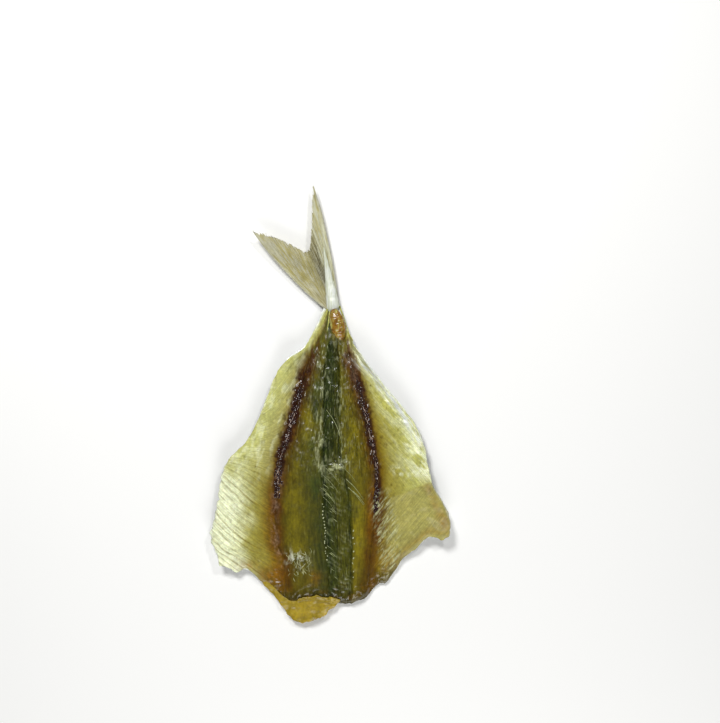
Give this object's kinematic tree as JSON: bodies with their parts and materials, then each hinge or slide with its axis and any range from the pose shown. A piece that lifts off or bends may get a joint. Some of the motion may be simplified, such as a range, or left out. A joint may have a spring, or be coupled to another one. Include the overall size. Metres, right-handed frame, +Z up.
{
  "type": "dried fish",
  "caption": "Headless small sea fish, slit along the belly, opened flat and dried, flesh side up, with a forked tail fin and ragged belly flaps",
  "frame": {"origin": "centre of the bounding box in plan, on the surface that the fish lies on", "axes": "+Y from the neck cut to the tail fin, +Z up out of the flesh side, +X to the right seen with the flesh up and the tail away"},
  "size_m": [0.0834, 0.1564, 0.007],
  "materials": {
    "dried_flesh": "oily dried flesh, olive loins, golden belly flaps",
    "fish_skin": "silver grey scaled skin, satin",
    "dark_muscle": "glossy dark red-brown dried muscle",
    "fin_membrane": "translucent dry fin with fine rays",
    "bone": "amber dried bone and pale pin bones"
  },
  "bodies": {
    "root": {"dried_fish": "dried_flesh"}
  },
  "joints": []
}
